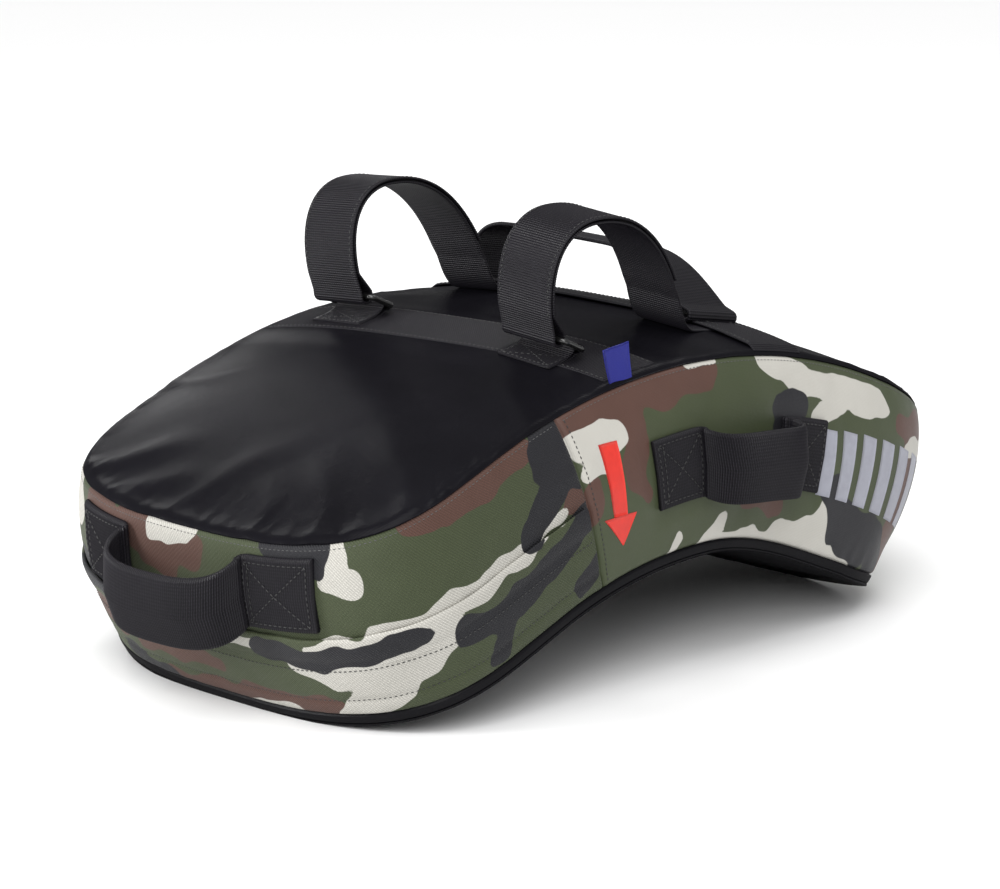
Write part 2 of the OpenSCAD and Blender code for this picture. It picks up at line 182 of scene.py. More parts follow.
def on_side(side):
    """Places a point on a long wall: along it, across it downwards, and out from it."""
    def place(along, across, lift):
        a = 0.5 + np.asarray(across, float) / BODY_T
        return at(side * (HALF_W + wall_out(a) + lift), along, wall_h(a))
    return place


END_MID = 0.245                  # middle of the end handle, as a fraction down the wall


def on_toe(along, across, lift):
    a = END_MID + np.asarray(across, float) / BODY_T
    d = wall_out(a) + lift
    reach = np.maximum(1 - np.abs(along / (HALF_W + d)) ** END_POWER, 0) ** (1 / END_POWER)
    return at(along, -STRAIGHT - (END_L + d) * reach, wall_h(a))


def local_frame(origin, tilt_x, slope_y=0.0):
    """Points in a frame that lies on the back: along y, across x, lift z."""
    turn = np.array(Matrix.Rotation(tilt_x, 3, "X") @ Matrix.Rotation(slope_y, 3, "Y"))
    def place(along, across, lift):
        local = np.stack(np.broadcast_arrays(across, along, lift), -1).astype(float)
        return local @ turn.T + origin
    return place


# ------------------------------- mesh helpers -------------------------------
def make_piece(name, points, faces, material, body, uv=None, fields=None):
    """A mesh piece, from points in mm, that rides on a body (None: it is left on none)."""
    mesh = bpy.data.meshes.new(name)
    mesh.from_pydata((np.asarray(points) * MM).tolist(), [], faces)
    mesh.materials.append(material)
    mesh.shade_smooth()
    if uv is not None:
        layer = mesh.uv_layers.new(name="UVMap")
        corners = np.empty(len(mesh.loops), int)
        mesh.loops.foreach_get("vertex_index", corners)
        layer.data.foreach_set("uv", (np.asarray(uv) * MM)[corners].ravel())
    for key, value in (fields or {}).items():
        mesh.attributes.new(key, "FLOAT", "POINT").data.foreach_set("value", value)
    obj = bpy.data.objects.new(name, mesh)
    bpy.context.scene.collection.objects.link(obj)
    if body:
        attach(obj, body)
    return obj


def grid_faces(rows, cols, start=0):
    """Quads of a grid, seen from outside with rows running down and columns to the right."""
    i = (np.arange(rows - 1)[:, None] * cols + np.arange(cols - 1)[None]).ravel() + start
    return np.stack([i, i + cols, i + cols + 1, i + 1], 1).tolist()


def grid_normals(p):
    n = np.cross(np.gradient(p, axis=0), np.gradient(p, axis=1))
    return n / np.maximum(np.linalg.norm(n, axis=-1, keepdims=True), 1e-9)


def shell(name, grid, thick, material, uv, fields=None):
    """A closed skin: the grid, a second one a thickness further in, and its four edges."""
    rows, cols, _ = grid.shape
    inner = grid - thick * grid_normals(grid)
    count = rows * cols
    faces = grid_faces(rows, cols) + [f[::-1] for f in grid_faces(rows, cols, count)]
    edge = [(0, c) for c in range(cols)] + [(r, cols - 1) for r in range(1, rows)]
    edge += [(rows - 1, c) for c in range(cols - 2, -1, -1)] + [(r, 0) for r in range(rows - 2, 0, -1)]
    ids = [r * cols + c for r, c in edge]
    faces += [[b, b + count, a + count, a][::-1] for a, b in zip(ids, ids[1:] + ids[:1])]
    twice = {k: np.tile(v.ravel(), 2) for k, v in (fields or {}).items()}
    points = np.concatenate([grid.reshape(-1, 3), inner.reshape(-1, 3)])
    return make_piece(name, points, faces, material, "shield", np.tile(uv.reshape(-1, 2), (2, 1)), twice)


def noise_at(points, scale, seed=0.0):
    """Smooth noise of about -1 to 1, with blobs about scale across."""
    flat = np.asarray(points, float).reshape(-1, np.asarray(points).shape[-1]) / scale
    if flat.shape[1] == 2:
        flat = np.concatenate([flat, np.zeros((len(flat), 1))], 1)
    value = [noise.noise(Vector(p) + Vector((seed, 7.3 * seed, 0.37 * seed))) for p in flat]
    return np.array(value).reshape(np.asarray(points).shape[:-1])


# ------------------------------- cloth -------------------------------
def relaxed(rest, spare, pressure, cap):
    """How cloth cut a little too large moves when it is blown out with its edges sewn down."""
    rows, cols, _ = rest.shape
    mesh = bpy.data.meshes.new("cloth")
    mesh.from_pydata((rest.reshape(-1, 3) * MM).tolist(), [], grid_faces(rows, cols))
    obj = bpy.data.objects.new("cloth", mesh)
    bpy.context.scene.collection.objects.link(obj)
    edge = np.ones((rows, cols), bool)
    edge[1:-1, 1:-1] = False
    obj.vertex_groups.new(name="sewn").add(np.flatnonzero(edge).tolist(), 1.0, "REPLACE")
    cloth = obj.modifiers.new("cloth", "CLOTH")
    s = cloth.settings
    s.vertex_group_mass = "sewn"
    s.quality = 4
    s.mass = 0.2
    s.tension_stiffness = s.compression_stiffness = 12
    s.shear_stiffness = 4
    s.bending_stiffness = 0.2
    s.shrink_min = -spare
    s.use_pressure = True
    s.uniform_pressure_force = pressure
    s.effector_weights.gravity = 0
    cloth.collision_settings.use_collision = False
    for step in range(1, 21):
        bpy.context.scene.frame_set(step)
    view = obj.evaluated_get(bpy.context.evaluated_depsgraph_get())
    moved = np.empty(rows * cols * 3)
    view.data.vertices.foreach_get("co", moved)
    bpy.data.objects.remove(obj)
    bpy.data.meshes.remove(mesh)
    bpy.context.scene.frame_set(1)
    move = moved.reshape(rows, cols, 3) / MM - rest
    size = np.maximum(np.linalg.norm(move, axis=-1, keepdims=True), 1e-6)
    return move * np.tanh(size / cap) * cap / size


def stretched(field, rows, cols):
    """The field on a finer grid, given where its rows and columns fall on the coarse one."""
    r, c = np.arange(field.shape[0]), np.arange(field.shape[1])
    down = np.stack([[np.interp(rows, r, field[:, j, k]) for j in c] for k in range(3)], -1)
    down = down.transpose(1, 0, 2)
    return np.stack([[np.interp(cols, c, line[:, k]) for line in down] for k in range(3)], -1)


def softened(field, times):
    for _ in range(times):
        for axis in (0, 1):
            before, after = np.roll(field, 1, axis), np.roll(field, -1, axis)
            low, high = [slice(None)] * 3, [slice(None)] * 3
            low[axis], high[axis] = 0, -1
            mixed = 0.5 * field + 0.25 * (before + after)
            mixed[tuple(low)], mixed[tuple(high)] = field[tuple(low)], field[tuple(high)]
            field = mixed
    return field


def with_edges(low, high, step):
    """Evenly spaced values with more of them close to both ends, for a turned-in edge."""
    near = (0.0, 0.5, 1.2, 2.2, 3.4)
    n = max(int(round((high - low - 2 * near[-1]) / step)), 2)
    middle = np.linspace(low + near[-1], high - near[-1], n + 1)
    return np.concatenate([low + np.array(near[:-1]), middle, high - np.array(near[-2::-1])])


def tuck(distance):
    """How far a sewn edge turns in."""
    return -2.4 * np.clip(1 - distance / 3.2, 0, 1) ** 2


# ------------------------------- materials -------------------------------
class Nodes:
    """Adds shader nodes with short calls: each call returns the new node's first output."""

    def __init__(self, name):
        self.material = bpy.data.materials.new(name)
        self.material.use_nodes = True
        self.tree = self.material.node_tree
        self.shader = self.tree.nodes["Principled BSDF"]

    def put(self, value, socket):
        if isinstance(value, bpy.types.NodeSocket):
            self.tree.links.new(value, socket)
        else:
            socket.default_value = value

    def node(self, kind, inputs=(), out=0, **settings):
        made = self.tree.nodes.new(kind)
        for key, value in settings.items():
            setattr(made, key, value)
        for key, value in dict(inputs).items():
            self.put(value, made.inputs[key])
        return made.outputs[out]

    def math(self, operation, *values):
        return self.node("ShaderNodeMath", enumerate(values), operation=operation)

    def uv(self):
        return self.node("ShaderNodeTexCoord", out=2)

    def place(self):
        return self.node("ShaderNodeTexCoord", out=3)

    def turned(self, vector, degrees=0.0, scale=(1, 1, 1)):
        inputs = {"Vector": vector, "Rotation": (0, 0, math.radians(degrees)), "Scale": scale}
        return self.node("ShaderNodeMapping", inputs)

    def noise(self, vector, size, detail=2.0, rough=0.5):
        inputs = {"Vector": vector, "Scale": 1 / size, "Detail": detail, "Roughness": rough}
        return self.node("ShaderNodeTexNoise", inputs)

    def ribs(self, vector, pitch, direction="X", warp=0.0):
        """Soft ridges, pitch metres apart."""
        inputs = {"Vector": vector, "Scale": math.pi / (10 * pitch), "Distortion": warp,
                  "Detail Scale": 2.0}
        return self.node("ShaderNodeTexWave", inputs, out=1, bands_direction=direction)

    def between(self, factor, low, high):
        """low where factor is 0, high where it is 1."""
        return self.node("ShaderNodeMapRange", {"Value": factor, "To Min": low, "To Max": high})

    def blend(self, factor, first, second):
        made = self.tree.nodes.new("ShaderNodeMix")
        made.data_type = "RGBA"
        for value, socket in ((factor, 0), (first, 6), (second, 7)):
            self.put(value, made.inputs[socket])
        return made.outputs[2]

    def field(self, name):
        """1 inside a shape whose signed depth in mm is the mesh's attribute, 0 outside."""
        depth = self.node("ShaderNodeAttribute", out=2, attribute_name=name)
        inputs = {"Value": depth, "From Min": -0.25, "From Max": 0.25}
        return self.node("ShaderNodeMapRange", inputs)

    def relief(self, height, depth, below=None):
        inputs = {"Height": height, "Distance": depth, "Strength": 1.0}
        if below is not None:
            inputs["Normal"] = below
        return self.node("ShaderNodeBump", inputs)

    def finish(self, color, rough, normal=None, **constants):
        self.put(color, self.shader.inputs["Base Color"])
        self.put(rough, self.shader.inputs["Roughness"])
        if normal is not None:
            self.put(normal, self.shader.inputs["Normal"])
            self.put(normal, self.shader.inputs["Coat Normal"])
        for key, value in constants.items():
            self.shader.inputs[key.replace("_", " ")].default_value = value
        return self.material


def grey(v):
    return (v, v, v, 1.0)


def leatherette():
    n = Nodes("leatherette")
    place = n.place()
    grain = n.noise(place, 0.0011, 3.0, 0.6)
    twill = n.ribs(n.turned(n.uv(), 28), 0.0013, warp=0.6)
    cloudy = n.noise(place, 0.055, 4.0)
    scuffs = n.noise(n.turned(place, 20, (1, 6, 1)), 0.012, 5.0, 0.7)
    color = n.blend(cloudy, (0.0035, 0.0033, 0.0045, 1), (0.0075, 0.007, 0.0095, 1))
    rough = n.between(n.blend(0.35, cloudy, scuffs), 0.30, 0.46)
    normal = n.relief(twill, 0.00006, n.relief(grain, 0.00012))
    return n.finish(color, rough, normal, Specular_IOR_Level=0.0, Coat_Weight=0.13, Coat_Roughness=0.27)


def rim_leatherette():
    n = Nodes("rim_leatherette")
    place = n.place()
    cloudy = n.noise(place, 0.03, 4.0)
    color = n.blend(cloudy, (0.004, 0.004, 0.005, 1), (0.008, 0.0075, 0.009, 1))
    normal = n.relief(n.noise(place, 0.0016, 3.0, 0.6), 0.00025)
    return n.finish(color, n.between(cloudy, 0.36, 0.55), normal,
                    Specular_IOR_Level=0.0, Coat_Weight=0.16, Coat_Roughness=0.34)


GREEN = (0.044, 0.056, 0.024, 1)
BROWN = (0.082, 0.038, 0.027, 1)
PALE = (0.49, 0.475, 0.43, 1)
DARK = (0.0075, 0.0073, 0.0105, 1)


def camo_colors(n, place):
    tone = n.noise(place, 0.02, 4.0)
    color = n.blend(tone, GREEN, (0.055, 0.069, 0.031, 1))
    for name, first, second in (("brown", BROWN, (0.098, 0.047, 0.035, 1)),
                                ("pale", PALE, (0.56, 0.545, 0.50, 1)),
                                ("dark", DARK, (0.012, 0.0118, 0.016, 1))):
        color = n.blend(n.field(name), color, n.blend(tone, first, second))
    return color


def camo_oxford():
    n = Nodes("camo_oxford")
    uv, place = n.uv(), n.place()
    warp = n.ribs(n.turned(uv, 38), 0.00165, warp=0.5)
    weft = n.ribs(n.turned(uv, -52), 0.0024, warp=0.5)
    weave = n.math("MULTIPLY", warp, n.between(weft, 0.55, 1.0))
    # the camouflage colour is pulled towards near-black in the gaps of the weave: painted shade in its
    # recesses
    color = n.blend(n.between(weave, 0.34, 0.0), camo_colors(n, place), (0.012, 0.013, 0.012, 1))
    normal = n.relief(weave, 0.00028, n.relief(n.noise(place, 0.0006, 2.0), 0.00006))
    return n.finish(color, n.between(n.noise(place, 0.03), 0.5, 0.68), normal,
                    Specular_IOR_Level=0.25, Sheen_Weight=0.05, Sheen_Roughness=0.5)


def camo_smooth():
    n = Nodes("camo_smooth")
    uv, place = n.uv(), n.place()
    weave = n.math("MULTIPLY", n.ribs(uv, 0.0009), n.ribs(uv, 0.0009, "Y"))
    # the camouflage colour is darkened a little in the gaps of the weave: painted shade in its recesses
    color = n.blend(n.between(weave, 0.14, 0.0), camo_colors(n, place), (0.03, 0.03, 0.03, 1))
    normal = n.relief(weave, 0.00008, n.relief(n.noise(place, 0.003, 3.0), 0.00012))
    return n.finish(color, n.between(n.noise(place, 0.04), 0.42, 0.58), normal,
                    Specular_IOR_Level=0.3, Sheen_Weight=0.04, Sheen_Roughness=0.45)


RIB = 1.7                        # pitch of the webbing's ribs, mm


def webbing_material():
    n = Nodes("webbing")
    uv, place = n.uv(), n.place()
    rib = n.ribs(uv, RIB * MM)
    wale = n.ribs(uv, 0.0021, "Y", 0.4)
    fuzz = n.noise(place, 0.0005, 2.0)
    weave = n.math("MULTIPLY", n.between(rib, 0.35, 1.0), n.between(wale, 0.6, 1.0))
    worn = n.noise(place, 0.03, 5.0, 0.65)
    # the colour runs from near-black in the grooves between the ribs to dark grey on the rib tops: painted
    # shade in the grooves, mixed with random worn patches
    color = n.blend(n.math("MULTIPLY", weave, n.between(worn, 0.6, 1.0)),
                    (0.0012, 0.0012, 0.0016, 1), (0.021, 0.019, 0.0245, 1))
    normal = n.relief(weave, 0.00035, n.relief(fuzz, 0.00008))
    return n.finish(color, n.between(worn, 0.38, 0.55), normal,
                    Specular_IOR_Level=0.0, Coat_Weight=0.34, Coat_Roughness=0.36)


def simple(name, low, high, rough, size, depth, **constants):
    """A finish with mottled colour and a fine grain."""
    n = Nodes(name)
    place = n.place()
    spots = n.noise(place, size * 8, 4.0)
    normal = n.relief(n.noise(place, size, 3.0, 0.6), depth)
    return n.finish(n.blend(spots, low, high), n.between(spots, *rough), normal, **constants)


def label_cloth():
    n = Nodes("label_cloth")
    uv = n.uv()
    weave = n.math("MULTIPLY", n.ribs(uv, 0.0005), n.ribs(uv, 0.0007, "Y"))
    # the blue is darker in the gaps of the weave: painted shade in its recesses
    color = n.blend(weave, (0.010, 0.012, 0.17, 1), (0.022, 0.030, 0.30, 1))
    return n.finish(color, 0.5, n.relief(weave, 0.0001), Specular_IOR_Level=0.3)


def print_ink(name, color):
    """Transfer print: a thin, slightly crazed film."""
    n = Nodes(name)
    place = n.place()
    cracks = n.node("ShaderNodeTexVoronoi", {"Vector": place, "Scale": 420.0}, feature="DISTANCE_TO_EDGE")
    worn = n.noise(place, 0.006, 4.0)
    darker = tuple(c * 0.72 for c in color[:3]) + (1,)
    return n.finish(n.blend(worn, darker, color), n.between(worn, 0.35, 0.55),
                    n.relief(cracks, 0.00003), Specular_IOR_Level=0.45)


M = {
    "leather": leatherette(),
    "rim": rim_leatherette(),
    "oxford": camo_oxford(),
    "smooth": camo_smooth(),
    "webbing": webbing_material(),
    "thread": simple("thread", grey(0.014), grey(0.036), (0.45, 0.6), 0.0004, 0.00004),
    "pale_thread": simple("pale_thread", grey(0.045), grey(0.11), (0.5, 0.6), 0.0004, 0.00004),
    "ring": simple("ring_plastic", grey(0.006), grey(0.010), (0.16, 0.28), 0.0008, 0.00002,
                   Specular_IOR_Level=0.6, Coat_Weight=0.3, Coat_Roughness=0.1),
    "hook": simple("hook_tape", grey(0.006), grey(0.013), (0.75, 0.9), 0.0007, 0.0003),
    "tape": simple("zip_tape", grey(0.008), grey(0.016), (0.7, 0.85), 0.0006, 0.00015),
    "teeth": simple("zip_plastic", grey(0.014), grey(0.024), (0.3, 0.42), 0.0006, 0.00003),
    "metal": simple("zip_metal", grey(0.40), grey(0.56), (0.24, 0.38), 0.0005, 0.00002, Metallic=1.0),
    "soft_foam": simple("foam_soft", grey(0.42), grey(0.56), (0.85, 0.95), 0.0012, 0.0006),
    "dense_foam": simple("foam_dense", grey(0.035), grey(0.06), (0.8, 0.9), 0.0009, 0.0004),
    "label": label_cloth(),
    "red": print_ink("print_red", (0.72, 0.030, 0.018, 1)),
    "grey": print_ink("print_grey", (0.34, 0.345, 0.40, 1)),
}

# ------------------------------- camouflage -------------------------------
# Strokes of each colour, as (t, v) to (t, v) with a radius, in mm along and down the wall
STROKES = {
    "brown": [
        (-62, 6, -32, 16, 15), (-30, 16, 10, 16, 11), (-40, 26, -20, 30, 8), (-112, 8, -80, 16, 13),
        (188, 4, 250, 9, 7), (250, 9, 294, 7, 9), (312, 54, 328, 46, 9),
        (-70, 98, 8, 93, 6), (-66, 126, 30, 118, 9), (30, 114, 106, 118, 9),
        (330, 8, 400, 8, 12), (400, 8, 444, 8, 14), (380, 16, 371, 60, 10), (371, 60, 380, 76, 6),
        (334, 52, 326, 74, 7), (668, 22, 656, 60, 15), (656, 60, 664, 100, 12),
        (664, 100, 684, 120, 12), (484, 95, 518, 99, 8), (640, 26, 662, 30, 9),
    ],
    "pale": [
        (-34, 5, 6, 4, 7), (134, -2, 134, 12, 7), (128, 23, 141, 27, 9), (-196, 8, -146, 20, 17),
        (150, 64, 202, 62, 8), (202, 62, 262, 61, 8), (262, 60, 302, 57, 4), (96, 67, 150, 64, 4),
        (84, 79, 110, 90, 9), (110, 88, 172, 90, 12), (172, 88, 190, 79, 9), (152, 100, 124, 116, 12),
        (140, 110, 112, 126, 9), (26, 127, 72, 123, 6), (12, 70, 72, 72, 5),
        (332, 22, 364, 25, 8), (334, 40, 350, 43, 7), (346, 30, 362, 34, 7),
        (442, -2, 454, 2, 5), (506, 6, 530, 13, 9), (530, 18, 570, 20, 9), (570, 18, 614, 20, 10),
        (570, 30, 551, 45, 7), (438, 122, 458, 109, 6), (458, 126, 520, 122, 8),
        (520, 120, 572, 112, 11), (572, 112, 585, 84, 8), (572, 122, 626, 125, 9),
        (401, 124, 410, 114, 4), (654, 40, 692, 26, 7), (550, 118, 581, 97, 9),
        (581, 97, 608, 116, 9),
    ],
    "dark": [
        (84, 1, 122, 4, 9), (104, 6, 122, 15, 6), (316, 8, 325, 32, 14), (318, 30, 290, 48, 9),
        (292, 46, 273, 56, 8), (303, 14, 298, 26, 8),
        (60, 72, 100, 78, 9), (100, 78, 138, 73, 8), (138, 73, 174, 70, 7),
        (200, 82, 232, 92, 8), (232, 92, 276, 82, 10), (276, 82, 326, 68, 10), (232, 97, 223, 115, 7),
        (-94, 112, -48, 126, 8), (306, 110, 330, 104, 9),
        (511, 34, 531, 33, 10), (512, 50, 532, 52, 9), (577, 86, 592, 98, 10), (592, 101, 642, 104, 13),
        (642, 106, 664, 122, 12), (606, 112, 630, 119, 9),
    ],
}


def camo_strokes():
    """The strokes above, a flipped copy for the left wall, and loose ones for the rest."""
    every = {}
    draw = random.Random(11)
    for color, strokes in STROKES.items():
        flipped = [(-a - 24, 130 - b, -c - 24, 130 - d, r) for a, b, c, d, r in strokes if min(a, c) > 180]
        loose = []
        for low, high, count in ((700, 1000, 6), (-180, -70, 1)):
            for _ in range(count):
                t, v = draw.uniform(low, high), draw.uniform(0, 130)
                loose.append((t, v, t + draw.uniform(14, 44), v + draw.uniform(-24, 24), draw.uniform(8, 15)))
        every[color] = strokes + flipped + loose
    return every


CAMO = camo_strokes()


def camo_fields(t, a, gusset):
    """Signed depth in mm inside each colour, with wavy edges, for a gusset or the side panel."""
    v = a * BODY_T
    spot = np.stack([t, v], -1)
    wave_t = 6 * noise_at(spot, 21, 1.0) + 1.2 * noise_at(spot, 8, 2.0)
    wave_v = 6 * noise_at(spot, 21, 3.0) + 1.2 * noise_at(spot, 8, 4.0)
    made = {}
    for color, strokes in CAMO.items():
        depth = np.full(t.shape, -60.0)
        for t0, v0, t1, v1, r in strokes:
            if (abs(t0 + t1) / 2 < T_GUSSET) != gusset:
                continue
            along = (t + wave_t - t0 + HALF_RUN) % (2 * HALF_RUN) - HALF_RUN
            down = v + wave_v - v0
            dt, dv = t1 - t0, v1 - v0
            u = np.clip((along * dt + down * dv) / max(dt * dt + dv * dv, 1e-6), 0, 1)
            near = r - np.hypot(along - u * dt, down - u * dv)
            soft = np.clip(0.5 + 0.5 * (near - depth) / 6, 0, 1)
            depth = depth * (1 - soft) + near * soft + 6 * soft * (1 - soft)
        made[color] = depth
    return made


# ------------------------------- the padded covers -------------------------------
SEWN_BANDS = ((NEAR_S, NEAR_SKEW), (FAR_S, 0.0))
CORNER_T = 150.0                 # where the back's square grid has its corners on the outline


def back_grid(us, vs, d, mid_h, bulge):
    """A grid over the back or the striking face: concentric copies of the outline."""
    u, v = np.meshgrid(us, vs, indexing="xy")
    q = np.maximum(np.maximum(np.abs(u), np.abs(v)), 1e-6)
    bu, bv = u / q, v / q
    long_side = HALF_RUN - 2 * CORNER_T
    t = np.where(np.abs(bv) >= 1 - 1e-9,
                 np.where(bv < 0, bu * CORNER_T, np.sign(bu + 1e-9) * HALF_RUN - bu * CORNER_T),
                 np.sign(bu) * (CORNER_T + (bv + 1) / 2 * long_side))
    x, s = outline(t, d)
    return x * q, s * q, mid_h + bulge * crown(q), q, t


# Long soft folds of the back cover: from (x, s) on the seam to (x, s) inside, with a height
FOLDS = [
    (-150, -262, -60, -210, 1.6), (-120, -285, -20, -240, 1.3), (150, -225, 70, -150, 1.5),
    (60, -292, 30, -225, 1.2), (-160, -150, -80, -120, 1.2), (158, -120, 90, -90, 1.3),
    (110, -275, 50, -190, 1.4), (-40, -292, 20, -180, 1.0), (156, 10, 100, 20, 1.2),
    (-156, 20, -96, 10, 1.2), (156, 200, 80, 170, 1.2), (-150, 210, -70, 180, 1.3),
    (60, 286, 20, 200, 1.2), (-70, 284, -30, 210, 1.2), (157, 52, 110, 48, 1.1),
]


def folds(x, s):
    total = np.zeros(x.shape)
    for x0, s0, x1, s1, height in FOLDS:
        dx, ds = x1 - x0, s1 - s0
        length = math.hypot(dx, ds)
        along = ((x - x0) * dx + (s - s0) * ds) / length
        off = ((x - x0) * -ds + (s - s0) * dx) / length + 5 * np.sin(along / 19)
        width = 7 + 0.09 * np.clip(along, 0, length)
        ends = ramp(along, -12, 14) * (1 - ramp(along, 0.5 * length, 1.2 * length))
        total += height * ends * np.exp(-(off / width) ** 2)
    return total


def puckers(t, distance, height, reach, pitch, seed):
    """Small pinches square to a seam that die out away from it."""
    spot = np.stack([t / pitch, distance / (reach * 2.2)], -1)
    ridge = 1 - np.abs(noise_at(spot, 1.0, seed)) * 2.6
    slow = 0.5 + 0.8 * noise_at(np.stack([t, 0 * t], -1), 90, seed + 3)
    return height * ridge * np.clip(slow, 0.1, 1.2) * np.exp(-distance / reach) * ramp(distance, 0, 3)


def face_cover(name, node, d, mid_h, bulge, material, seed, spare, side):
    """The back cover, or the striking face; the rim turned up the wall is a piece of its own."""
    half_w, half_l = HALF_W + d, BODY_L / 2 + d
    fine_u = with_edges(-half_w, half_w, 2.6) / half_w
    fine_v = with_edges(-half_l, half_l, 2.6) / half_l
    rough_u, rough_v = np.linspace(-1, 1, 61), np.linspace(-1, 1, 105)
    x, s, h, q, _ = back_grid(rough_u, rough_v, d, mid_h, bulge)
    rest = at(x, s, h)
    if side < 0:
        rest = rest[:, ::-1]
    move = softened(relaxed(rest, spare, 2.0, 4.0), 2)
    if side < 0:
        move = move[:, ::-1]
    x, s, h, q, t = back_grid(fine_u, fine_v, d, mid_h, bulge)
    move = stretched(move, (fine_v + 1) / 2 * 104, (fine_u + 1) / 2 * 60)
    edge = (1 - q) * 150
    held = np.ones(x.shape)
    if side > 0:
        for mid, skew in SEWN_BANDS:
            held *= ramp(np.abs(s - mid - skew * x), 22, 44)
        h = h + folds(x, s) * held
    h = h + side * (puckers(t, edge, 1.5, 9, 13, seed) * (0.35 + 0.65 * held) + tuck(edge) * (side > 0))
    grid = at(x, s, h) + move * held[..., None] * 0.6
    flat = np.stack([x, s], -1)
    if side < 0:
        grid, flat = grid[:, ::-1], flat[:, ::-1]
    obj = shell(name, grid, COVER_T, material, flat)
    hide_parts(node)
    return obj


def wall_cover(name, node, t0, t1, a0, a1, material, seed, spare, press=None, grooves=()):
    """A strip of the wall from t0 to t1 and from a0 to a1, with the camouflage on it."""
    ts = with_edges(t0, t1, 2.6)
    vs = with_edges(a0 * BODY_T, a1 * BODY_T, 2.4)
    rough_t = np.linspace(t0, t1, int((t1 - t0) / 5.5) + 1)
    rough_a = np.linspace(a0, a1, max(int((a1 - a0) * BODY_T / 5.5), 5) + 1)
    rest = on_wall(rough_t[None], rough_a[:, None])
    move = softened(relaxed(rest, spare, 1.5, 3.0), 2)
    move = stretched(move, np.interp(vs / BODY_T, rough_a, np.arange(len(rough_a))),
                     np.interp(ts, rough_t, np.arange(len(rough_t))))
    t, v = np.meshgrid(ts, vs)
    a = v / BODY_T
    top, bottom = v - a0 * BODY_T, a1 * BODY_T - v
    ends = np.minimum(t - t0, t1 - t)
    edge = np.minimum(np.minimum(top, bottom), ends)
    held = press(t, a) if press else np.ones(t.shape)
    lift = puckers(t, top, 1.1, 8, 12, seed) + puckers(t, bottom, 0.9, 8, 14, seed + 1)
    lift += puckers(v + 31, ends, 1.6, 15, 17, seed + 2)
    lift = lift * (0.25 + 0.75 * held) + tuck(edge)
    for groove in grooves:
        lift -= 1.1 * np.exp(-((v - groove * BODY_T) / 1.5) ** 2)
    grid = on_wall(t, a, lift) + move * held[..., None] * 0.8
    obj = shell(name, grid, COVER_T, material, np.stack([t, v], -1), camo_fields(t, a, t0 < 0))
    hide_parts(node)
    return obj


def near_patches(t, a):
    """0 under the webbing patches that are sewn down flat, 1 well clear of them."""
    free = np.ones(t.shape)
    side_t = np.abs(t) - QUARTER - STRAIGHT
    for low, high in ((-37, 8), (86, 131)):
        out = np.maximum(np.maximum(low - side_t, side_t - high), 0)
        down = np.maximum(np.abs(a - 0.5) * BODY_T - 25, 0)
        free *= ramp(np.hypot(out, down), 0, 16)
    return free


def near_end_patches(t, a):
    out = np.maximum(np.maximum(52 - np.abs(t), np.abs(t) - 128), 0)
    down = np.maximum(np.abs(a - END_MID) * BODY_T - 25, 0)
    return ramp(np.hypot(out, down), 0, 14)


BOTTOM_SEAM = 0.85               # a second seam round the lower gusset
face_cover("back_cover", "back_panel", -SEAM_INSET, BODY_T / 2, BACK_CROWN,
           M["leather"], 5.0, 0.012, 1)
face_cover("strike_cover", "strike_panel", 0.0, -BODY_T / 2, -STRIKE_CROWN,
           M["rim"], 9.0, 0.004, -1)
side_cover = wall_cover("side_cover", "side_panel", T_GUSSET, 2 * HALF_RUN - T_GUSSET, 0.008,
                        RIM_A - 0.002, M["smooth"], 14.0, 0.010, near_patches)
gusset_upper = wall_cover("gusset_upper_cover", "gusset_upper", -T_GUSSET, T_GUSSET, 0.008,
                          SLOT_TOP, M["oxford"], 20.0, 0.010, near_end_patches)
gusset_lower = wall_cover("gusset_lower_cover", "gusset_lower", -T_GUSSET, T_GUSSET, SLOT_LOW,
                          RIM_A - 0.002, M["oxford"], 27.0, 0.010,
                          grooves=(BOTTOM_SEAM,))


def make_rim():
    """The black edge of the striking face, turned up over the lower edge of the wall."""
    t = np.linspace(-HALF_RUN, HALF_RUN, 541)
    profile = [(RIM_A - 0.004, -1.6), (RIM_A - 0.001, 0.1), (RIM_A + 0.008, 0.5), (RIM_A + 0.025, 0.5),
               (0.99, 0.2), (0.998, -0.3), (1.0, -1.2)]
    rows = [on_wall(t, a, lift + 0.3 * np.sin(t / 37) * (a < 0.99)) for a, lift in profile]
    grid = np.stack(rows)
    uv = np.stack(np.broadcast_arrays(t[None], np.array(profile)[:, :1] * BODY_T), -1)
    return shell("strike_rim", grid, 1.2, M["rim"], uv)


make_rim()

# ------------------------------- the hidden zip -------------------------------
T_ZIP = T_GUSSET - 4


def make_flap():
    """The placket, sewn below the slot, whose folded upper edge covers the zip."""
    rows = [(0.486, 0.5), (0.474, 0.9), (0.470, 1.9), (0.474, 2.9), (0.49, 3.2), (0.52, 3.1),
            (0.55, 2.8), (0.58, 2.2), (0.60, 1.6), (0.612, 0.9), (0.625, 1.0), (0.64, 0.7)]
    ts = with_edges(-T_ZIP, T_ZIP, 2.6)
    a = np.array([r[0] for r in rows])[:, None]
    lift = np.array([r[1] for r in rows])[:, None]
    t, a, lift = np.broadcast_arrays(ts[None], a, lift)
    wave = noise_at(np.stack([t, 40 * a], -1), 30, 31.0)
    free = ramp(0.62 - a, 0, 0.12)
    grid = on_wall(t, a + 0.010 * wave * free, lift + 1.1 * wave * free)
    uv = np.stack([t, a * BODY_T], -1)
    obj = shell("placket_flap", grid, 0.8, M["oxford"], uv, camo_fields(t, a, True))
    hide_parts("zip_flap")


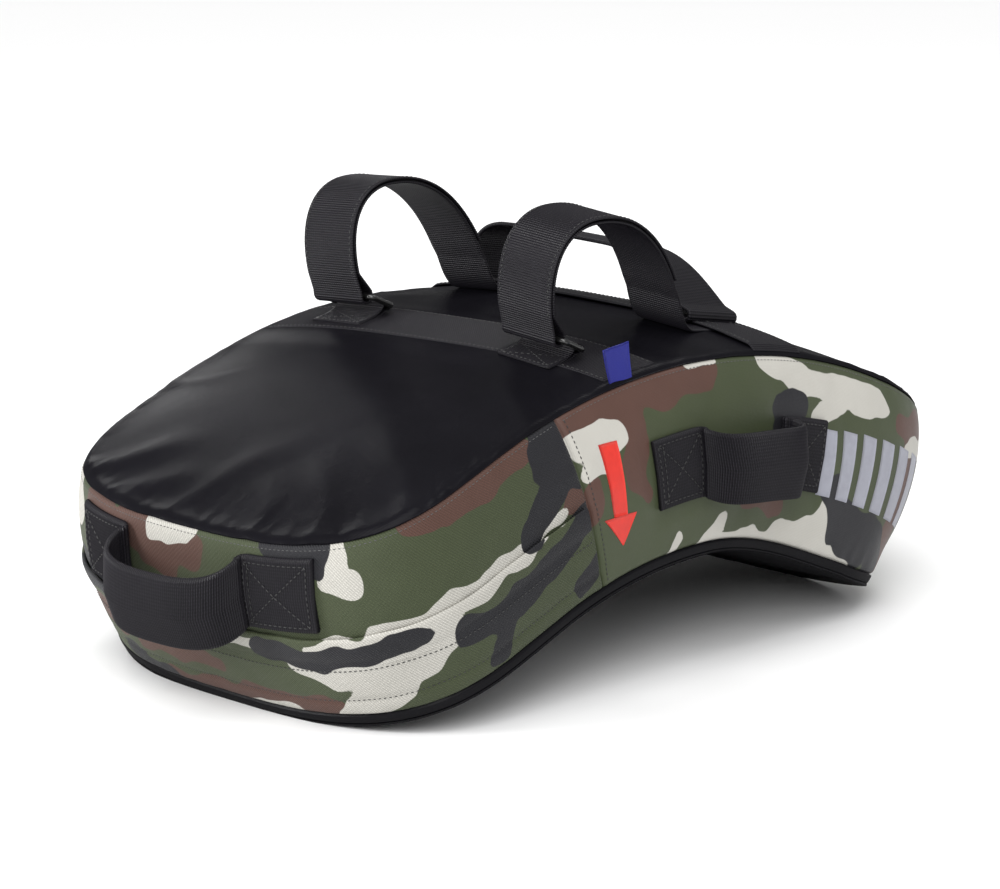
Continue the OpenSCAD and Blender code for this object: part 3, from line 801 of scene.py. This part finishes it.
def make_zip():
    ts = np.linspace(-T_ZIP, T_ZIP, 240)
    a = np.array([SLOT_TOP - 0.05, SLOT_TOP, (SLOT_TOP + SLOT_LOW) / 2, SLOT_LOW, SLOT_LOW + 0.05])[:, None]
    grid = on_wall(ts[None], a, -3.2)
    uv = np.stack(np.broadcast_arrays(ts[None], a * BODY_T), -1)
    tape = shell("zip_tape_cloth", grid, 0.8, M["tape"], uv)
    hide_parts("zip_tape")
    points, faces = [], []
    mid = (SLOT_TOP + SLOT_LOW) / 2
    for i, t in enumerate(np.arange(-T_ZIP + 2, T_ZIP - 2, 1.5)):
        side = 1 if i % 2 else -1
        for dt in (-0.6, 0.6):
            for v, lift in ((-0.5, -2.9), (2.0, -2.9), (2.3, -2.0), (2.0, -1.4), (-0.5, -1.4)):
                points.append(on_wall(t + dt * (1.0 if v > 0 else 1.25), mid + side * v / BODY_T, lift))
        base = 10 * i
        loop = [[base + k, base + (k + 1) % 5, base + 5 + (k + 1) % 5, base + 5 + k] for k in range(5)]
        loop += [[base + 4, base + 3, base + 2, base + 1, base], [base + 5 + k for k in range(5)]]
        faces += [f if side < 0 else f[::-1] for f in loop]
    teeth = make_piece("zip_teeth_row", points, faces, M["teeth"], "shield")
    teeth.data.shade_flat()
    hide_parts("zip_teeth")


make_flap()
make_zip()


# ------------------------------- webbing -------------------------------
def bezier(p):
    t = np.linspace(0, 1, 25)[:, None]
    p = np.asarray(p, float)
    return ((1 - t) ** 3 * p[0] + 3 * (1 - t) ** 2 * t * p[1] + 3 * (1 - t) * t * t * p[2] + t ** 3 * p[3])


def arc(center, radius, start, end, n=14):
    turn = np.radians(np.linspace(start, end, n + 1))
    return np.stack([center[0] + radius * np.cos(turn), center[1] + radius * np.sin(turn)], 1)


def run_of(line):
    return np.concatenate([[0], np.cumsum(np.hypot(*np.diff(line, axis=0).T))])


def even(path, step, blur):
    """The path at even steps, with its corners rounded over a length of blur."""
    line = np.asarray(path, float)
    run = run_of(line)
    count = max(int(round(run[-1] / step)), 8)
    where = np.linspace(0, run[-1], count + 1)
    line = np.stack([np.interp(where, run, line[:, k]) for k in (0, 1)], 1)
    width = int(blur / step) | 1
    if width > 1:
        half = width // 2
        start = 2 * line[0] - line[half:0:-1]
        end = 2 * line[-1] - line[-2:-half - 2:-1]
        padded = np.concatenate([start, line, end])
        kernel = np.hanning(width + 2)[1:-1]
        kernel /= kernel.sum()
        line = np.stack([np.convolve(padded[:, k], kernel, "valid") for k in (0, 1)], 1)
    return line


def along_normals(line):
    d = np.gradient(line, axis=0)
    d /= np.maximum(np.linalg.norm(d, axis=1, keepdims=True), 1e-9)
    return np.stack([-d[:, 1], d[:, 0]], 1)


# Across the webbing: place from edge to edge and share of its thickness
SECTION = [(-1.0, 0.0), (-0.985, 0.72), (-0.94, 1.12), (-0.86, 1.0), (0.0, 0.97), (0.86, 1.0),
           (0.94, 1.12), (0.985, 0.72), (1.0, 0.0)]


def webbing(name, place, path, width, thick, body, blur=3.0, ribs=0.15, wavy=0.0, seed=0.0):
    """A ribbed ribbon along a path of (along, lift), with a corded edge on both sides."""
    line = even(path, RIB / 4, blur)
    normal = along_normals(line)
    run = run_of(line)
    rib = -ribs * np.cos(2 * math.pi * run / RIB)
    sway = wavy * noise_at(np.stack([run, 0 * run], -1), 45, seed)
    ring = [(u, w) for u, w in SECTION] + [(u, -w) for u, w in SECTION[-2:0:-1]]
    columns = []
    for u, share in ring:
        off = share * thick / 2 + (np.sign(share) * rib if 0 < abs(share) else 0)
        spot = line + normal * (off + 0.15 * sway * u)[:, None]
        columns.append(place(spot[:, 0], u * width / 2 + sway, spot[:, 1]))
    grid = np.stack(columns, 1)
    rows, cols, _ = grid.shape
    faces = []
    for c in range(cols):
        r = np.arange(rows - 1) * cols
        after = (c + 1) % cols
        faces += np.stack([r + c, r + after, r + cols + after, r + cols + c], 1).tolist()
    faces += [list(range(cols))[::-1], [(rows - 1) * cols + c for c in range(cols)]]
    across = np.array([u for u, _ in ring]) * width / 2
    uv = np.stack(np.broadcast_arrays(run[:, None], across[None]), -1)
    points = grid.reshape(-1, 3)
    sample = grid[rows // 3:rows // 3 + 2]
    center = sample.reshape(-1, 3).mean(0)
    side = np.cross(sample[0, 5] - sample[0, 4], sample[1, 4] - sample[0, 4])
    if side @ (sample[0, 4] - center) < 0:
        faces = [f[::-1] for f in faces]
    obj = make_piece(name, points, faces, M["webbing"], body, uv.reshape(-1, 2))
    return obj


class Thread:
    """Collects sewing stitches and makes one piece of them."""

    def __init__(self):
        self.points, self.faces = [], []

    def stitch(self, a, b, up, radius):
        axis = (b - a) / np.linalg.norm(b - a)
        side = np.cross(axis, up)
        side /= np.linalg.norm(side)
        up = np.cross(side, axis)
        base = len(self.points)
        self.points.append(a - up * radius * 0.6)
        for end in (a + 0.22 * (b - a), b - 0.22 * (b - a)):
            for k in range(6):
                turn = k * math.pi / 3
                self.points.append(end + radius * (math.cos(turn) * side + math.sin(turn) * up))
        self.points.append(b - up * radius * 0.6)
        for k in range(6):
            m = (k + 1) % 6
            self.faces += [[base, base + 1 + m, base + 1 + k],
                           [base + 1 + k, base + 1 + m, base + 7 + m, base + 7 + k],
                           [base + 13, base + 7 + k, base + 7 + m]]

    def row(self, points, ups, pitch=4.0, share=0.68, radius=0.36):
        """Stitches along a line of points with their outward directions."""
        points, ups = np.asarray(points, float), np.asarray(ups, float)
        run = np.concatenate([[0], np.cumsum(np.linalg.norm(np.diff(points, axis=0), axis=1))])
        count = max(int(run[-1] / pitch), 1)
        for i in range(count):
            ends = (i + np.array([0.5 - share / 2, 0.5 + share / 2])) * run[-1] / count
            a, b = (np.array([np.interp(e, run, points[:, k]) for k in range(3)]) for e in ends)
            up = np.array([np.interp(ends[0], run, ups[:, k]) for k in range(3)])
            self.stitch(a, b, up, radius)

    def on(self, place, path, lift, **how):
        """A row over a placed surface, through corners given as (along, across)."""
        path = np.asarray(path, float)
        run = run_of(path)
        where = np.linspace(0, run[-1], max(int(run[-1] / 2), 2))
        along, across = (np.interp(where, run, path[:, k]) for k in (0, 1))
        height = lift(along) if callable(lift) else lift
        points = place(along, across, height)
        self.row(points, place(along, across, height + 1.0) - points, **how)

    def box_x(self, place, along0, along1, across0, across1, lift, **how):
        a, b, c, d = (along0, across0), (along1, across0), (along1, across1), (along0, across1)
        self.on(place, [a, b, c, d, a], lift, **how)
        self.on(place, [a, c], lift, **how)
        self.on(place, [b, d], lift, **how)

    def made(self, name, body, material="thread"):
        obj = make_piece(name, self.points, self.faces, M[material], body)
        obj.data.shade_smooth()
        return obj


def back_place(mid, skew=0.0):
    """Along x, across s (in mm of the back's own surface), lift out from the back."""
    def place(along, across, lift):
        return on_back(along, mid + skew * along + np.asarray(across) * BEND_R / BACK_R, lift)
    return place


BAND_HALF = HALF_W - SEAM_INSET - 1.0
sewing = Thread()
near_place, far_place = back_place(NEAR_S, NEAR_SKEW), back_place(FAR_S)
for name, node, place, lift in (("near_band_webbing", "near_band", near_place, 1.3),
                                ("far_band_webbing", "far_band", far_place, FAR_LIFT + 0.8)):
    ends = [(-BAND_HALF, lift - 2.6), (-BAND_HALF + 5, lift), (BAND_HALF - 5, lift), (BAND_HALF, lift - 2.6)]
    band = webbing(name, place, ends, WEB_W, WEB_T, "shield", blur=5.0, wavy=0.5, seed=lift)
    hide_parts(node)
    for across in (-WEB_W / 2 + 2.6, WEB_W / 2 - 2.6):
        sewing.on(place, [(-BAND_HALF + 6, across), (BAND_HALF - 6, across)], lift + 0.95)


def sag(y):
    return np.sqrt(BACK_R ** 2 - np.asarray(y, float) ** 2) - BACK_R


BAR_LOW = (-46.0, 6.9 + float(sag(46)))
BAR_TOP = (-65.0, 18.8 + float(sag(65)))
STRAP_SLOPE = math.atan(3 * BACK_CROWN * (STRAP_X / (HALF_W - SEAM_INSET)) ** 2 / (HALF_W - SEAM_INSET))
LEAN_Z, LOOP_LOW, LAYER = 24.0, 31.0, 1.5


def strap_place(side):
    return local_frame(on_back(side * STRAP_X, 0), float(tilt(0)), side * STRAP_SLOPE)


def loop_path():
    h = STRAP_H
    rise = bezier([(-72, LOOP_LOW), (-77, 62), (-66, h), (-33, h)])
    fall = bezier([(-33, h), (-2, h), (28, 76), (47.5, LOOP_LOW)])
    return np.concatenate([rise, fall[1:]])


def strap_path():
    """One webbing: foot, inner layer, round the ring's upper bar, and back over itself."""
    loop = even(loop_path(), 1.0, 5.0)
    off = along_normals(loop)
    inner, outer = loop - LAYER * off, loop + LAYER * off
    if inner[len(inner) // 2][1] > outer[len(outer) // 2][1]:
        inner, outer = outer, inner
    lying = [(y, 1.1 + float(sag(y))) for y in range(132, 68, -8)]
    foot = bezier([(68, 1.2 + float(sag(68))), (58, 1.6 + float(sag(58))), (54, 10), (50.5, 22)])
    turn = arc(BAR_TOP, 4.8, 0, -180)
    into = [(BAR_TOP[0] + 4.8, BAR_TOP[1] + 3)]
    out_of = [(BAR_TOP[0] - 4.8, BAR_TOP[1] + 3)]
    end = int(len(outer) * 0.975)
    return np.concatenate([lying, foot, inner[::-1], into, turn, out_of, outer[:end]]), outer[:end]


def make_strap(name, side):
    place = strap_place(side)
    body = f"forearm_{name}"
    path, outer = strap_path()
    strap = webbing(f"forearm_strap_{name}", place, path, WEB_W, WEB_T, None, blur=4.0,
                    wavy=0.35, seed=40.0 + side)
    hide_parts(f"strap_ends_{name}", f"strap_inner_{name}", f"strap_outer_{name}")
    # rows of stitches near both edges of the outer layer, and across its end
    rows = Thread()
    up = along_normals(outer)
    up *= np.sign(up[len(up) // 2][1])
    top = outer + up * (WEB_T / 2 + 0.12)
    for across in (-WEB_W / 2 + 2.8, WEB_W / 2 - 2.8):
        points = place(top[:, 0], across, top[:, 1])
        rows.row(points, place(top[:, 0] + up[:, 0], across, top[:, 1] + up[:, 1]) - points)
    for back in (3, 9):
        spot, lean = top[-back], up[-back]
        across = np.linspace(-WEB_W / 2 + 3, WEB_W / 2 - 3, 12)
        points = place(spot[0], across, spot[1])
        rows.row(points, place(spot[0] + lean[0], across, spot[1] + lean[1]) - points)
    stitches = rows.made(f"forearm_stitches_{name}", None)
    start, finish = (place(0.0, 0.0, z) * MM for z in (LEAN_Z - 5, LEAN_Z + 9))
    for piece in (strap, stitches):
        tuple(start)
        tuple(finish)
        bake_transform(piece)
    # hook-and-loop tape between the two layers
    loop = even(loop_path(), 1.0, 5.0)
    covered = loop[int(len(loop) * 0.16):int(len(loop) * 0.8)]
    tape = webbing(f"hook_tape_cloth_{name}", place, covered, WEB_W - 7, 0.9, body, ribs=0.0)
    tape.data.materials[0] = M["hook"]
    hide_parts(f"hook_tape_{name}")
    # the tab that holds the ring
    below = [(-74.0, 1.7 + float(sag(74))), (-60.0, 1.9 + float(sag(60))), (-52.0, 2.1 + float(sag(52)))]
    above = [(-51.5, 5.4 + float(sag(51))), (-57.0, 3.1 + float(sag(57))),
             (-62.0, 2.5 + float(sag(62))), (-74.0, 2.4 + float(sag(74)))]
    path = np.concatenate([below, arc(BAR_LOW, 3.3, -115, 115, 20), above])
    tab = webbing(f"ring_tab_webbing_{name}", place, path, WEB_W - 2, 0.9, "shield", blur=1.5)
    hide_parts(f"ring_tab_{name}")
    sewing.box_x(place, -72.5, -54.5, -21.5, 21.5,
                 lambda y: 3.0 + np.maximum(y + 61, 0) ** 2 * 0.022 + sag(y))


for name, side in (("left", -1), ("right", 1)):
    make_strap(name, side)
# rows that sew the feet of the forearm straps through the far band
for side in (-1, 1):
    for across in (-12.0, 12.0):
        sewing.on(far_place, [(side * STRAP_X - 21, across), (side * STRAP_X + 21, across)], FAR_LIFT + 1.75)


def drop(x):
    return -BACK_CROWN * (abs(x) / (HALF_W - SEAM_INSET)) ** 3


def make_cross_handle():
    place_y = local_frame(on_back(0, FAR_S), float(tilt(FAR_S)))
    def place(along, across, lift):
        return place_y(across - 0.055 * np.maximum(along, 0), along, lift)
    h = CROSS_H
    left = [(x, 6.0 + drop(x)) for x in (-82, -94, -106, -116)]
    fold = arc((-117.5, 5.2), 4.0, -100, -185, 8)
    rise = bezier([(-121, 12), (-124, 30), (-116, h), (-88, h)])
    fall = bezier([(4, h - 1), (44, h - 1), (62, 28), (89, 11)])
    under = arc((97.5, 5.0), 3.5, 60, -90, 10)
    right = [(x, 6.0 + drop(x)) for x in (90, 80, 68)]
    path = np.concatenate([left, fold, rise, fall, under, right])
    handle = webbing("cross_handle_webbing", place, path, WEB_W, 2.6, None, blur=5.0, wavy=0.4, seed=50.0)
    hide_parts("cross_handle_feet", "cross_handle_loop")
    start, finish = place(0.0, 0.0, 4.0) * MM, place(0.0, 0.0, 16.0) * MM
    tuple(start)
    tuple(finish)
    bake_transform(handle)
    for low, high in ((-114, -88), (70, 92)):
        sewing.box_x(lambda x, y, z: place(x, y, z + drop(np.asarray(x))), low, high, -20, 20, 7.6)


make_cross_handle()


def handle_path(half, foot_low, foot_high, low, reach):
    """Patch, loop and patch of a wall handle, as (along, lift)."""
    turn = np.linspace(-90, 90, 61)
    loop = np.stack([half * corner(np.sin(np.radians(turn))),
                     low + (reach - low) * np.maximum(np.cos(np.radians(turn)), 0) ** 0.8], 1)
    patch = 2.1
    start = [(-foot_high, patch), (-foot_low - 5, patch), (-foot_low - 1.2, patch + 1.0),
             (-foot_low + 0.2, patch + 4)]
    return np.concatenate([start, loop, [(-x, z) for x, z in start[::-1]]])


def drooping(place, reach, droop, curl, half):
    """The loop of a handle hangs a little, and its edges curl towards the wall."""
    def soft(along, across, lift):
        share = ramp(np.asarray(lift, float), 6, reach)
        return place(along, across + droop * share, lift - curl * share * (across / half) ** 2)
    return soft


def make_wall_handle(name, place, path, width, nodes, feet, seed):
    soft = drooping(place, path[:, 1].max(), 3.0, 4.5, width / 2)
    handle = webbing(name, soft, path, width, 3.2, None, blur=4.0, ribs=0.42, wavy=0.3, seed=seed)
    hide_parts(*nodes)
    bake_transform(handle)
    for low, high in feet:
        sewing.box_x(place, low + 3, high - 3, -width / 2 + 4, width / 2 - 4, 4.05)
        sewing.on(place, [(low + 7, -width / 2 + 4), (low + 7, width / 2 - 4)], 4.05)


end_path = handle_path(58, 56, 112, 9.5, END_REACH - WEB_T)
root = on_toe(57.0, 0.0, 0.0)
make_wall_handle("end_handle_webbing", on_toe, end_path, 48.0,
                 ("end_handle_patches", "end_handle_loop"), ((56, 112), (-112, -56)),
                 60.0)

SIDE_MID = 47.0
for name, side in (("left", -1), ("right", 1)):
    wall = on_side(side)
    def place(along, across, lift, wall=wall):
        return wall(SIDE_MID + np.asarray(along), across, lift)
    path = handle_path(42, 39, 84, 9.5, SIDE_REACH - WEB_T)
    root = wall(SIDE_MID, 0.0, 5.0)
    make_wall_handle(f"side_handle_webbing_{name}", place, path, 48.0,
                     (f"side_handle_patches_{name}", f"side_handle_loop_{name}"),
                     ((39, 84), (-84, -39)), 70.0 + side)

# ------------------------------- seams, prints and label -------------------------------
TREES = {}


def tree_of(obj):
    if obj.name not in TREES:
        points = [v.co / MM for v in obj.data.vertices]
        TREES[obj.name] = BVHTree.FromPolygons(points, [p.vertices for p in obj.data.polygons])
    return TREES[obj.name]


def laid_on(obj, points, ups, lift):
    """The points dropped onto a cover's outside, lift above it."""
    tree, made = tree_of(obj), []
    for p, up in zip(points, ups):
        up = Vector(up).normalized()
        hit = tree.ray_cast(Vector(p) + up * 15, -up, 30)[0]
        made.append(np.array((hit if hit is not None else Vector(p)) + up * lift))
    return np.array(made)


def wall_row(thread, obj, ts, heights, lift=0.2, **how):
    points = on_wall(ts, heights)
    ups = on_wall(ts, heights, 1.0) - points
    thread.row(laid_on(obj, points, ups, lift), ups, **how)


PLACKET_SEAM, EDGE_ROW = 0.662, 0.034       # how far down the wall these rows of stitches run
wall_thread = Thread()
around = np.arange(T_GUSSET + 3, 2 * HALF_RUN - T_GUSSET - 3, 3.0)
toe_run = np.arange(-T_GUSSET + 3, T_GUSSET - 3, 3.0)
wall_row(wall_thread, gusset_lower, toe_run, BOTTOM_SEAM, -0.1, pitch=3.6)
wall_row(wall_thread, gusset_lower, toe_run, PLACKET_SEAM, 0.15, pitch=3.6)
down = np.linspace(0.03, RIM_A - 0.03, 40)
for side in (-1, 1):
    wall_row(wall_thread, side_cover, side * (T_GUSSET + 4.5), down, 0.15, pitch=3.6)
wall_thread.made("wall_stitches", "shield")

edge_thread = Thread()
wall_row(edge_thread, side_cover, around, EDGE_ROW, 0.05, pitch=3.4, radius=0.28)
wall_row(edge_thread, gusset_upper, toe_run, EDGE_ROW, 0.05, pitch=3.4, radius=0.28)
edge_thread.made("seam_stitches", "shield", "pale_thread")
sewing.made("webbing_stitches", "shield")


def print_patch(name, corners, material):
    """A thin film on the side cover, inside a four-sided outline given as (t, a)."""
    c = np.asarray(corners, float)
    wide, tall = (int(max(np.hypot(*((c[k] - c[0]) * (1, BODY_T))) / 2.5, 2)) for k in (1, 3))
    u, v = np.meshgrid(np.linspace(0, 1, wide + 1), np.linspace(0, 1, tall + 1))
    u, v = u[..., None], v[..., None]
    spot = (1 - u) * (1 - v) * c[0] + u * (1 - v) * c[1] + u * v * c[2] + (1 - u) * v * c[3]
    points = on_wall(spot[..., 0], spot[..., 1])
    ups = on_wall(spot[..., 0], spot[..., 1], 1.0) - points
    grid = laid_on(side_cover, points.reshape(-1, 3), ups.reshape(-1, 3), 0.3).reshape(points.shape)
    return shell(name, grid, 0.25, material, spot * (1, BODY_T))


print_patch("print_arrow_stem", [(347, 0.22), (362, 0.24), (357, 0.62), (344, 0.60)], M["red"])
print_patch("print_arrow_head", [(335, 0.59), (366, 0.63), (350, 0.77), (349, 0.77)], M["red"])
for i in range(6):
    low = 556 + 21 * i
    print_patch(f"print_bar_{i + 1}", [(low, 0.36 - 0.012 * i), (low + 14, 0.36 - 0.012 * i),
                                       (low + 17, 0.69), (low + 3, 0.69)], M["grey"])


LABEL_S = -43.0


def make_label():
    """A folded woven label that stands up out of the upper seam."""
    low, high = (np.array(v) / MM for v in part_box("seam_label"))
    base = on_back((low[0] + high[0]) / 2, LABEL_S, 0.0)
    height, width = 27.0, 20.0
    rows, cols = 15, 11
    z, y = np.meshgrid(np.linspace(1, 0, rows), np.linspace(-0.5, 0.5, cols), indexing="ij")
    curl = 1.6 * z ** 2 + 0.5 * np.sin(y * 5)
    local = np.stack([curl, y * width * (1 + 0.18 * z) - 3.5 * z, z * height - 1.5], -1)
    turn = np.array(Matrix.Rotation(float(tilt(LABEL_S)), 3, "X"))
    grid = local @ turn.T + base
    uv = np.stack([y * width, z * height], -1)
    obj = shell("seam_label_cloth", grid[:, ::-1], 0.8, M["label"], uv[:, ::-1])
    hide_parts("seam_label")


make_label()

# ------------------------------- CAD pieces that stay -------------------------------
KEPT = {"ring_left": "ring", "ring_right": "ring", "zip_slider": "metal", "zip_pull": "metal",
        "foam_back": "soft_foam", "foam_core": "soft_foam", "foam_strike": "dense_foam"}
for node, key in KEPT.items():
    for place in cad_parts[node].material_slots:
        place.material = M[key]

# ------------------------------- floor, light and camera -------------------------------
def floor():
    mesh = bpy.data.meshes.new("floor")
    mesh.from_pydata([(-12, -12, 0), (12, -12, 0), (12, 12, 0), (-12, 12, 0)], [], [(0, 1, 2, 3)])
    n = Nodes("floor")
    mesh.materials.append(n.finish(grey(0.9), 0.8, Specular_IOR_Level=0.1))
    obj = bpy.data.objects.new("floor", mesh)
    bpy.context.scene.collection.objects.link(obj)


def light(name, place, target, size, power):
    data = bpy.data.lights.new(name, "AREA")
    data.shape, data.size, data.size_y, data.energy = "RECTANGLE", size[0], size[1], power
    obj = bpy.data.objects.new(name, data)
    obj.location = place
    obj.rotation_euler = (Vector(target) - Vector(place)).to_track_quat("-Z", "Y").to_euler()
    bpy.context.scene.collection.objects.link(obj)


floor()
light("key", (1.9, -1.9, 1.5), (0, 0, 0.12), (1.3, 1.0), 30)
light("top", (-0.2, 1.3, 2.0), (0, 0.1, 0.15), (0.9, 0.5), 10)
light("back", (-2.1, 0.9, 0.8), (0, 0, 0.2), (0.3, 0.8), 8)
light("left", (-1.3, -2.2, 0.9), (0, -0.1, 0.12), (0.6, 1.1), 48)
sun = bpy.data.objects.new("sky", bpy.data.lights.new("sky", "SUN"))
sun.data.energy, sun.data.angle = 1.9, math.radians(50)
sun.rotation_euler = (math.radians(22), math.radians(16), 0)
bpy.context.scene.collection.objects.link(sun)
world = bpy.data.worlds.new("studio")
world.use_nodes = True
world.node_tree.nodes["Background"].inputs[0].default_value = (1, 1, 1, 1)
world.node_tree.nodes["Background"].inputs[1].default_value = 0.5
bpy.context.scene.world = world
bpy.context.scene.view_settings.view_transform = "Standard"

CAMERA_AT, LENS = (2.0287, -1.9954, 0.8063), 151.9
AZIMUTH, ELEVATION, ROLL = (math.radians(v) for v in (45.360, 13.354, -0.4269))
backward = Vector((math.sin(AZIMUTH) * math.cos(ELEVATION), -math.cos(AZIMUTH) * math.cos(ELEVATION),
                   math.sin(ELEVATION)))
rightward = (-backward).cross(Vector((0, 0, 1))).normalized()
upward = rightward.cross(-backward)
camera = bpy.data.objects.new("camera", bpy.data.cameras.new("camera"))
axes = Matrix((rightward * math.cos(ROLL) + upward * math.sin(ROLL),
               upward * math.cos(ROLL) - rightward * math.sin(ROLL), backward)).transposed()
camera.matrix_world = Matrix.Translation(CAMERA_AT) @ axes.to_4x4()
camera.data.sensor_width, camera.data.lens = 36, LENS
bpy.context.scene.collection.objects.link(camera)
bpy.context.scene.camera = camera
